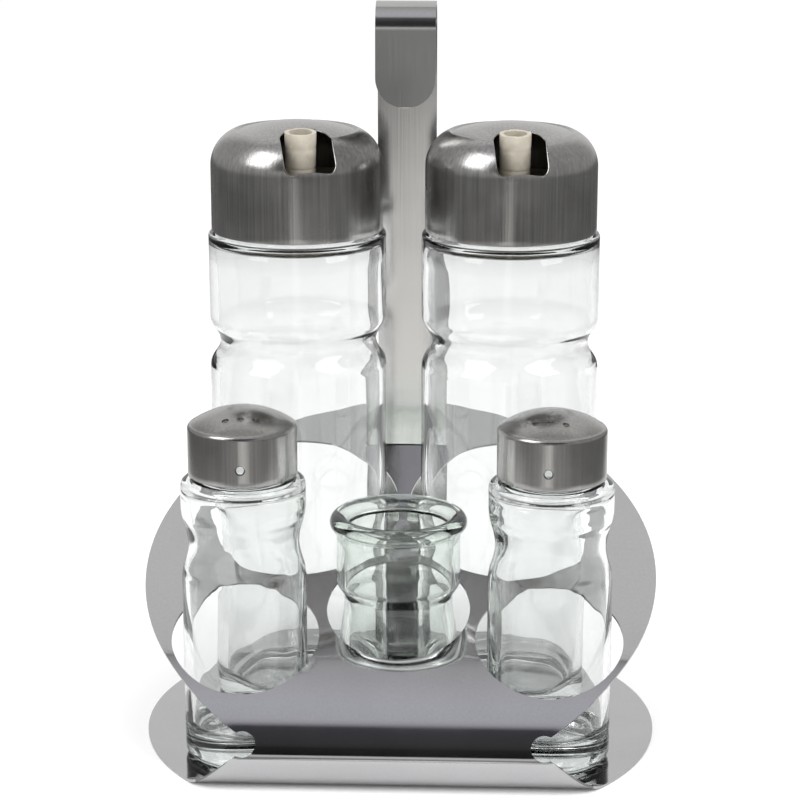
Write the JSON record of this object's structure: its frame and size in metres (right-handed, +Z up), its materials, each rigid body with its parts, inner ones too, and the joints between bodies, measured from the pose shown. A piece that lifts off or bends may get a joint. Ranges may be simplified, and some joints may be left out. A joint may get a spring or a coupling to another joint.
{
  "type": "condiment caddy",
  "caption": "Bent-sheet steel stand with a hooked handle, holding glass oil and vinegar bottles with domed caps, salt and pepper shakers and a toothpick cup.",
  "frame": {"origin": "centre of the round base, on the table", "axes": "+X to the right, +Y to the back where the handle stands, +Z up"},
  "size_m": [0.164, 0.1413, 0.2288],
  "materials": {
    "stand_steel": "polished stainless sheet",
    "cap_steel": "satin, brushed along the axis",
    "bottle_glass": "clear pressed glass",
    "shaker_glass": "clear pressed glass",
    "cup_glass": "clear pressed glass with a green tint in its thick rim",
    "pourer_plastic": "cream moulded polyethylene"
  },
  "bodies": {
    "stand": {"stand_sheet": "stand_steel", "handle_strip": "stand_steel"},
    "cup": {"toothpick_cup": "cup_glass"},
    "bottle_left": {"bottle_glass_left": "bottle_glass"},
    "bottle_closure_left": {"bottle_cap_left": "cap_steel", "pourer_left": "pourer_plastic"},
    "shaker_left": {"shaker_glass_left": "shaker_glass"},
    "shaker_closure_left": {"shaker_cap_left": "cap_steel"},
    "bottle_right": {"bottle_glass_right": "bottle_glass"},
    "bottle_closure_right": {"bottle_cap_right": "cap_steel", "pourer_right": "pourer_plastic"},
    "shaker_right": {"shaker_glass_right": "shaker_glass"},
    "shaker_closure_right": {"shaker_cap_right": "cap_steel"}
  },
  "joints": [
    {"name": "bottle_lift_left", "type": "slide", "parent": "stand", "child": "bottle_left", "axis": [-0.042, -0.005, 0.9991], "range_m": [0, 0.09]},
    {"name": "bottle_cap_lift_left", "type": "slide", "parent": "bottle_left", "child": "bottle_closure_left", "axis": [0, 0, 1], "range_m": [0, 0.02]},
    {"name": "shaker_lift_left", "type": "slide", "parent": "stand", "child": "shaker_left", "axis": [0, 0, 1], "range_m": [0, 0.065]},
    {"name": "shaker_cap_lift_left", "type": "slide", "parent": "shaker_left", "child": "shaker_closure_left", "axis": [0, 0, 1], "range_m": [0, 0.03]},
    {"name": "bottle_lift_right", "type": "slide", "parent": "stand", "child": "bottle_right", "axis": [0.042, -0.005, 0.9991], "range_m": [0, 0.09]},
    {"name": "bottle_cap_lift_right", "type": "slide", "parent": "bottle_right", "child": "bottle_closure_right", "axis": [0, 0, 1], "range_m": [0, 0.02]},
    {"name": "shaker_lift_right", "type": "slide", "parent": "stand", "child": "shaker_right", "axis": [0, 0, 1], "range_m": [0, 0.065]},
    {"name": "shaker_cap_lift_right", "type": "slide", "parent": "shaker_right", "child": "shaker_closure_right", "axis": [0, 0, 1], "range_m": [0, 0.03]},
    {"name": "cup_lift", "type": "slide", "parent": "stand", "child": "cup", "axis": [0, 0, 1], "range_m": [0, 0.065]}
  ]
}
